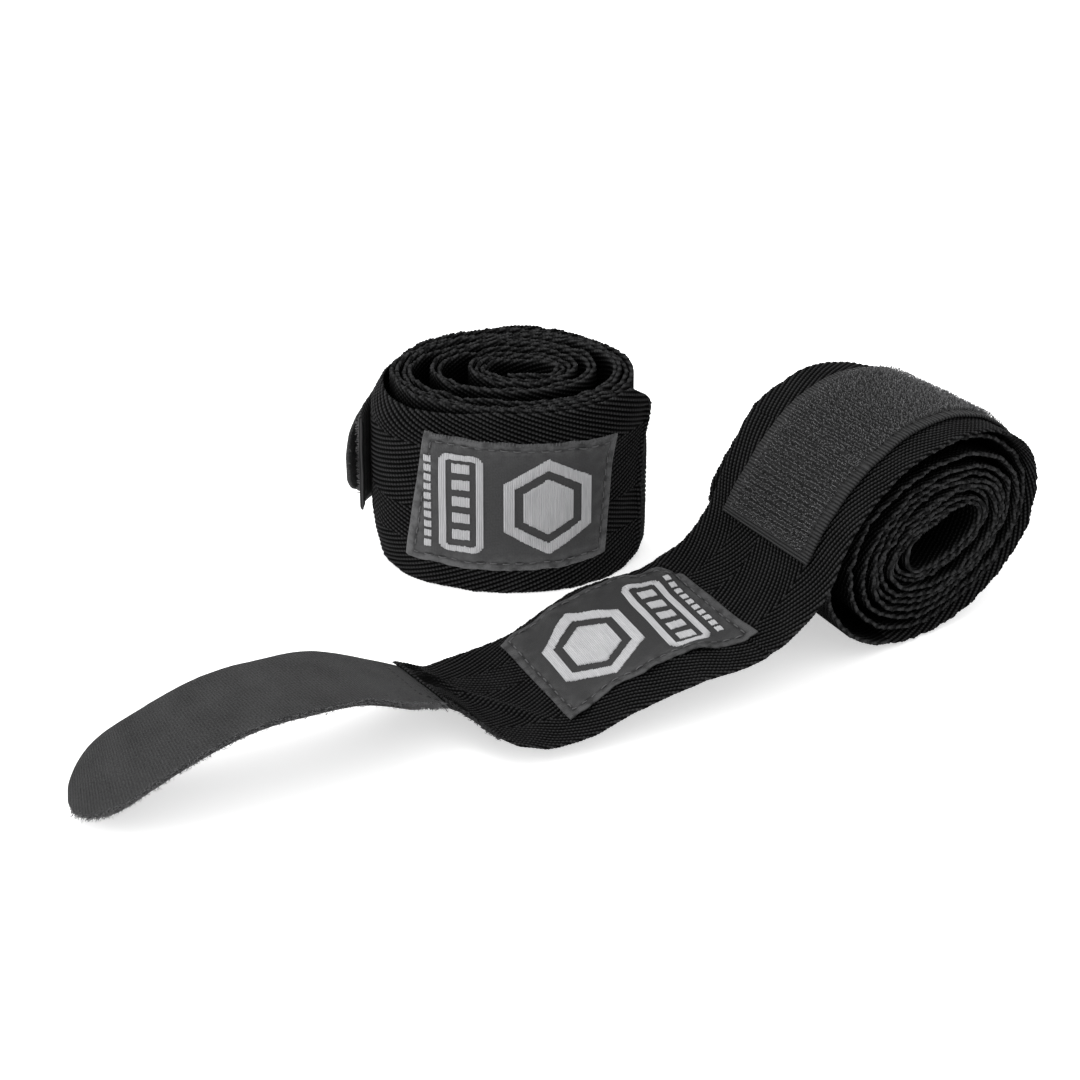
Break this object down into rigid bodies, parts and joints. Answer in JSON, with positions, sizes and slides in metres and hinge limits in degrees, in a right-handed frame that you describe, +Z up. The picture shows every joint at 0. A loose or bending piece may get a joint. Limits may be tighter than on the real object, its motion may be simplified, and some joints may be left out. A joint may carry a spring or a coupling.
{
  "type": "hand wrap",
  "caption": "Pair of elastic webbing hand wraps with hook-and-loop closure tabs: one rolled and closed, standing on edge, the other partly unrolled beside it.",
  "frame": {"origin": "centre of the pair's footprint, on the table", "axes": "+Z up; +X along the pair's long side, from the free closure tab's tip towards the partly unrolled roll; +Y from the front, where the label of the standing roll faces, to the back"},
  "size_m": [0.2248, 0.151, 0.052],
  "materials": {
    "webbing": "black herringbone elastic webbing, matt",
    "label": "dark grey woven label with light grey satin motif",
    "pad": "charcoal hook-and-loop tape",
    "tab": "charcoal ribbed tape, matt",
    "thread": "dark sewing thread with a slight sheen"
  },
  "bodies": {
    "wrap_a": {"webbing_a": "webbing", "label_a": "label", "label_stitching_a": "thread", "hook_pad_a": "pad", "pad_stitching_a": "thread", "thumb_loop_a": "webbing", "thumb_bar_tack_a": "thread"},
    "tab_a": {"closure_tab_a": "tab", "loop_patch_a": "pad", "patch_stitching_a": "thread", "tab_seam_stitching_a": "thread"},
    "wrap_b": {"webbing_b": "webbing", "hook_pad_b": "pad", "pad_stitching_b": "thread", "thumb_loop_b": "webbing", "thumb_bar_tack_b": "thread"},
    "strap_b": {"strap_webbing_b": "webbing", "label_b": "label", "label_stitching_b": "thread"},
    "tab_b": {"closure_tab_b": "tab", "loop_patch_b": "pad", "patch_stitching_b": "thread", "tab_seam_stitching_b": "thread"}
  },
  "joints": [
    {"name": "tab_a_hinge", "type": "hinge", "parent": "wrap_a", "child": "tab_a", "pos_m": [0.02048, 0.05338, 0.025], "axis": [0, 0, -1], "range_deg": [0, 100]},
    {"name": "wrap_b_slide", "type": "slide", "parent": "wrap_a", "child": "wrap_b", "axis": [1, 0, 0], "range_m": [0, 0.15]},
    {"name": "strap_b_hinge", "type": "hinge", "parent": "wrap_b", "child": "strap_b", "pos_m": [0.04217, 0.00657, 0.01714], "axis": [-0.525, 0.85, -0.0431], "range_deg": [0, 75]},
    {"name": "tab_b_hinge", "type": "hinge", "parent": "strap_b", "child": "tab_b", "pos_m": [-0.0279, -0.02817, 0.00661], "axis": [-0.4089, 0.9007, -0.1464], "range_deg": [0, 110]}
  ]
}
